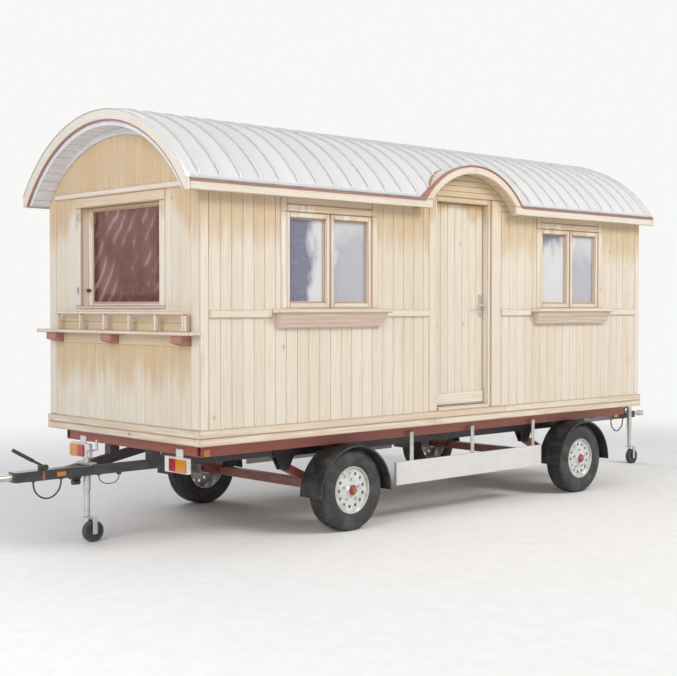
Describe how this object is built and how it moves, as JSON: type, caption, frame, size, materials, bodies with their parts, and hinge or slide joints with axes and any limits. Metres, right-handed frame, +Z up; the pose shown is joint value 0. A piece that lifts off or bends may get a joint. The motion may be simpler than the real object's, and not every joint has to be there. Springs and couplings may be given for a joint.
{
  "type": "shepherds hut",
  "caption": "Timber shepherds hut with a barrel roof, eyebrow canopy over the side door and windows, on a road chassis with tow bars and jockey wheels.",
  "frame": {"origin": "on the ground, on the centre line, midway between the two axles and between the two tow eyes", "axes": "+X along the length, away from the end with the big window; -Y towards the door side; +Z up"},
  "size_m": [9.08, 2.476, 3.595],
  "materials": {
    "boards": "satin",
    "trim": "satin",
    "floor": "matte",
    "roof_sheet": "satin",
    "clear_glass": "gloss",
    "dark_glass": "gloss",
    "handle_steel": "satin",
    "red_oxide": "satin",
    "black_steel": "satin",
    "bare_steel": "satin",
    "tyre": "matte",
    "rim": "satin",
    "jockey_rubber": "matte",
    "guard_board": "satin",
    "lamp_white": "gloss",
    "amber_lens": "gloss",
    "red_lens": "gloss",
    "cable": "matte"
  },
  "bodies": {
    "hut": {"amber_lenses": "amber_lens", "axle_beams": "red_oxide", "barge_boards": "trim", "base_boards": "trim", "belt_rails": "trim", "cable_front_small": "cable", "cable_front_wide": "cable", "cable_rear_wide": "cable", "canopy_arch": "trim", "chassis_frame": "red_oxide", "corner_posts": "trim", "door_canopy": "roof_sheet", "door_frame": "trim", "door_tympanum": "boards", "door_wall_front": "boards", "door_wall_rear": "boards", "eave_fascias": "trim", "end_panes": "dark_glass", "far_wall": "boards", "floor_deck": "floor", "front_towbar": "black_steel", "front_wall": "boards", "guard_boards": "guard_board", "guard_hangers": "red_oxide", "jockey_sleeves": "bare_steel", "lamp_boards": "lamp_white", "lower_rails": "black_steel", "mudguards": "black_steel", "planter_rail": "trim", "planter_shelf": "trim", "rear_towbar": "black_steel", "rear_wall": "boards", "red_lenses": "red_lens", "roof_seams": "roof_sheet", "roof_shell": "roof_sheet", "shelf_brackets": "trim", "side_panes": "clear_glass", "tow_eyes": "bare_steel", "trailing_arms": "red_oxide", "window_frames": "trim", "window_sills": "trim"},
    "door": {"door_leaf": "trim", "door_handle": "handle_steel"},
    "wheel_front_near": {"tyre_front_near": "tyre", "rim_front_near": "rim"},
    "wheel_front_far": {"tyre_front_far": "tyre", "rim_front_far": "rim"},
    "wheel_rear_near": {"tyre_rear_near": "tyre", "rim_rear_near": "rim"},
    "wheel_rear_far": {"tyre_rear_far": "tyre", "rim_rear_far": "rim"},
    "lever_front": {"brake_lever_front": "black_steel"},
    "lever_rear": {"brake_lever_rear": "black_steel"},
    "jockey_tube_front": {"jockey_tube_front": "bare_steel"},
    "jockey_fork_front": {"jockey_fork_front": "bare_steel"},
    "jockey_wheel_front": {"jockey_wheel_front": "jockey_rubber"},
    "jockey_tube_rear": {"jockey_tube_rear": "bare_steel"},
    "jockey_fork_rear": {"jockey_fork_rear": "bare_steel"},
    "jockey_wheel_rear": {"jockey_wheel_rear": "jockey_rubber"}
  },
  "joints": [
    {"name": "door_hinge", "type": "hinge", "parent": "hut", "child": "door", "pos_m": [-0.541, -1.065, 1.95], "axis": [0, 0, -1], "range_deg": [0, 100]},
    {"name": "wheel_front_near_spin", "type": "hinge", "parent": "hut", "child": "wheel_front_near", "pos_m": [-1.66, -1.04, 0.357], "axis": [0, 1, 0], "continuous": true},
    {"name": "wheel_front_far_spin", "type": "hinge", "parent": "hut", "child": "wheel_front_far", "pos_m": [-1.66, 1.04, 0.357], "axis": [0, 1, 0], "continuous": true},
    {"name": "wheel_rear_near_spin", "type": "hinge", "parent": "hut", "child": "wheel_rear_near", "pos_m": [1.66, -1.04, 0.357], "axis": [0, 1, 0], "continuous": true},
    {"name": "wheel_rear_far_spin", "type": "hinge", "parent": "hut", "child": "wheel_rear_far", "pos_m": [1.66, 1.04, 0.357], "axis": [0, 1, 0], "continuous": true},
    {"name": "brake_lever_front_swing", "type": "hinge", "parent": "hut", "child": "lever_front", "pos_m": [-4.05, -0.078, 0.668], "axis": [0, 1, 0], "range_deg": [-25, 55]},
    {"name": "brake_lever_rear_swing", "type": "hinge", "parent": "hut", "child": "lever_rear", "pos_m": [4.01, -0.078, 0.668], "axis": [0, -1, 0], "range_deg": [-25, 55]},
    {"name": "jockey_front_lift", "type": "slide", "parent": "hut", "child": "jockey_tube_front", "axis": [0, 0, 1], "range_m": [0, 0.15]},
    {"name": "jockey_front_swivel", "type": "hinge", "parent": "jockey_tube_front", "child": "jockey_fork_front", "pos_m": [-3.62, 0, 0.26], "axis": [0, 0, 1], "continuous": true},
    {"name": "jockey_front_roll", "type": "hinge", "parent": "jockey_fork_front", "child": "jockey_wheel_front", "pos_m": [-3.565, 0, 0.088], "axis": [0, 1, 0], "continuous": true},
    {"name": "jockey_rear_lift", "type": "slide", "parent": "hut", "child": "jockey_tube_rear", "axis": [0, 0, 1], "range_m": [0, 0.15]},
    {"name": "jockey_rear_swivel", "type": "hinge", "parent": "jockey_tube_rear", "child": "jockey_fork_rear", "pos_m": [4.08, -0.118, 0.26], "axis": [0, 0, 1], "continuous": true},
    {"name": "jockey_rear_roll", "type": "hinge", "parent": "jockey_fork_rear", "child": "jockey_wheel_rear", "pos_m": [4.135, -0.118, 0.088], "axis": [0, 1, 0], "continuous": true}
  ]
}
